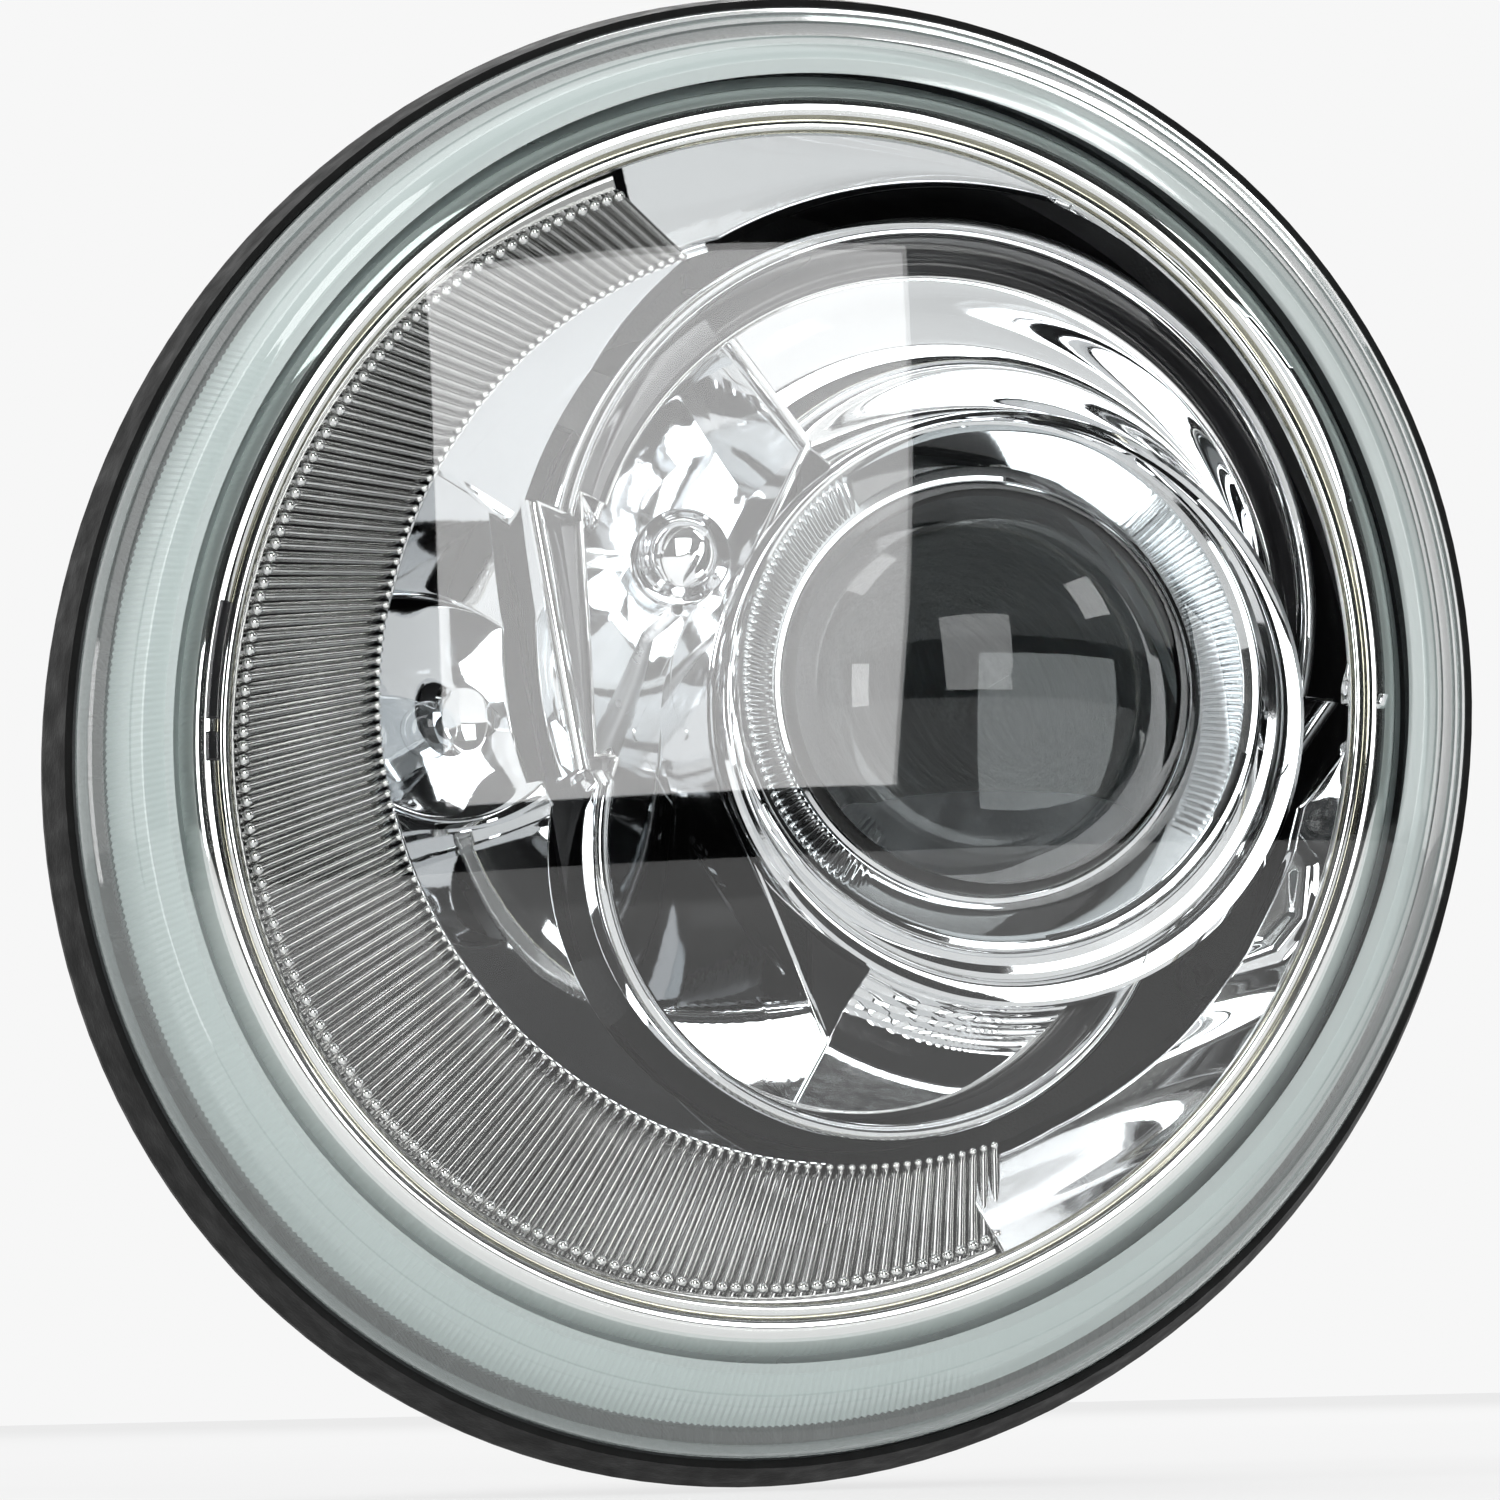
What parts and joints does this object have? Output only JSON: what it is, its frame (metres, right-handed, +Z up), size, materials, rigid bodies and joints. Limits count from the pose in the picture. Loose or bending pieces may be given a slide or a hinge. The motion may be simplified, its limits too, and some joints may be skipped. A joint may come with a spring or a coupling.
{
  "type": "projector headlamp",
  "caption": "Round car headlamp: an oval clear lens over a projector low beam and a reflector high beam on an aimed carrier, in a closed housing with rear covers.",
  "frame": {"origin": "centre of the circle of mounting inserts, in the plane of their rear faces", "axes": "-Y forward out of the lens along the optical axis, +Z up, +X to the right as seen from in front"},
  "size_m": [0.2434, 0.186, 0.2512],
  "materials": {
    "housing_plastic": "black moulded polypropylene with a fine grain",
    "cover_plastic": "black moulded nylon",
    "carrier_plastic": "dark grey glass-filled nylon",
    "black_rubber": "matte black rubber",
    "sealant": "dark grey adhesive bead",
    "clear_lens": "clear hard-coated polycarbonate with a faint green edge",
    "chrome": "vacuum-metallised plastic",
    "projector_glass": "pressed optical glass",
    "bulb_glass": "quartz glass",
    "satin_steel": "zinc-plated steel",
    "cast_aluminium": "die-cast aluminium",
    "shield_black": "heat-proof black paint",
    "brass": "bright brass",
    "nylon": "natural nylon"
  },
  "bodies": {
    "housing": {"housing_shell": "housing_plastic", "mount_inserts": "brass", "rim_seal": "black_rubber", "lens_sealant": "sealant", "outer_lens": "clear_lens", "trim_ring": "chrome", "inner_bezel": "chrome", "fluted_reflector": "chrome", "bezel_screws": "satin_steel", "position_reflector": "chrome", "vent_caps": "housing_plastic", "main_connector": "housing_plastic", "connector_pins": "brass", "ballast_case": "cast_aluminium", "ballast_gasket": "black_rubber", "ballast_screws": "satin_steel", "level_motor": "housing_plastic", "motor_seal": "black_rubber", "pivot_stud": "satin_steel", "yaw_bushing": "nylon"},
    "position_lamp": {"position_holder": "housing_plastic", "position_bulb": "bulb_glass", "position_seal": "black_rubber"},
    "pivot": {"pivot_bush": "nylon"},
    "carrier": {"carrier_frame": "carrier_plastic", "main_shroud": "chrome", "high_reflector": "chrome", "glare_cap": "chrome", "high_bulb_glass": "bulb_glass", "high_bulb_base": "cast_aluminium", "high_bulb_plug": "housing_plastic", "clip_screw": "satin_steel", "projector_bezel": "chrome", "projector_lens": "projector_glass", "lens_retainer": "satin_steel", "projector_holder": "cast_aluminium", "cutoff_shield": "shield_black", "projector_reflector": "cast_aluminium", "projector_screws": "satin_steel", "burner_capsule": "bulb_glass", "burner_base": "nylon", "igniter": "cast_aluminium", "pitch_socket": "nylon", "yaw_socket": "nylon"},
    "wire_clip": {"high_clip": "satin_steel"},
    "burner_lock": {"burner_ring": "satin_steel"},
    "level_rod": {"level_rod": "satin_steel"},
    "level_knob": {"level_knob": "nylon"},
    "yaw_rod": {"yaw_rod": "satin_steel"},
    "yaw_knob": {"yaw_knob": "nylon"},
    "low_cover": {"low_cover": "cover_plastic", "low_cover_seal": "black_rubber"},
    "high_cover": {"high_cover": "cover_plastic", "high_cover_seal": "black_rubber"}
  },
  "joints": [
    {"name": "aim_yaw", "type": "hinge", "parent": "housing", "child": "pivot", "pos_m": [-0.054, 0.016, 0.068], "axis": [0, 0, 1], "range_deg": [-2, 2]},
    {"name": "aim_pitch", "type": "hinge", "parent": "pivot", "child": "carrier", "pos_m": [-0.054, 0.016, 0.068], "axis": [1, 0, 0], "range_deg": [-2, 2]},
    {"name": "level_rod_slide", "type": "slide", "parent": "housing", "child": "level_rod", "axis": [0, 1, 0], "range_m": [-0.0046, 0.0046]},
    {"name": "level_knob_turn", "type": "hinge", "parent": "housing", "child": "level_knob", "pos_m": [-0.054, 0.082, -0.054], "axis": [0, 1, 0], "range_deg": [-540, 540]},
    {"name": "yaw_rod_slide", "type": "slide", "parent": "housing", "child": "yaw_rod", "axis": [0, 1, 0], "range_m": [-0.0042, 0.0042]},
    {"name": "yaw_knob_turn", "type": "hinge", "parent": "housing", "child": "yaw_knob", "pos_m": [0.056, 0.057, 0.068], "axis": [0, 1, 0], "range_deg": [-480, 480]},
    {"name": "clip_swing", "type": "hinge", "parent": "carrier", "child": "wire_clip", "pos_m": [-0.0122, 0.0651, 0.0457], "axis": [1, 0, 0], "range_deg": [0, 80]},
    {"name": "burner_lock_turn", "type": "hinge", "parent": "carrier", "child": "burner_lock", "pos_m": [0.0349, 0.0815, 0.0059], "axis": [0, 1, 0], "range_deg": [0, 25]},
    {"name": "position_lamp_turn", "type": "hinge", "parent": "housing", "child": "position_lamp", "pos_m": [-0.056, 0.048, 0.002], "axis": [0, 1, 0], "range_deg": [0, 45]},
    {"name": "low_cover_off", "type": "slide", "parent": "housing", "child": "low_cover", "axis": [0, 1, 0], "range_m": [0, 0.05]},
    {"name": "high_cover_off", "type": "slide", "parent": "housing", "child": "high_cover", "axis": [0, 1, 0], "range_m": [0, 0.05]}
  ],
  "couplings": [
    {"joint": "level_rod_slide", "follows": "aim_pitch", "m_per_rad": 0.122},
    {"joint": "level_knob_turn", "follows": "aim_pitch", "ratio": 191.64},
    {"joint": "yaw_rod_slide", "follows": "aim_yaw", "m_per_rad": 0.11},
    {"joint": "yaw_knob_turn", "follows": "aim_yaw", "ratio": 172.79}
  ]
}
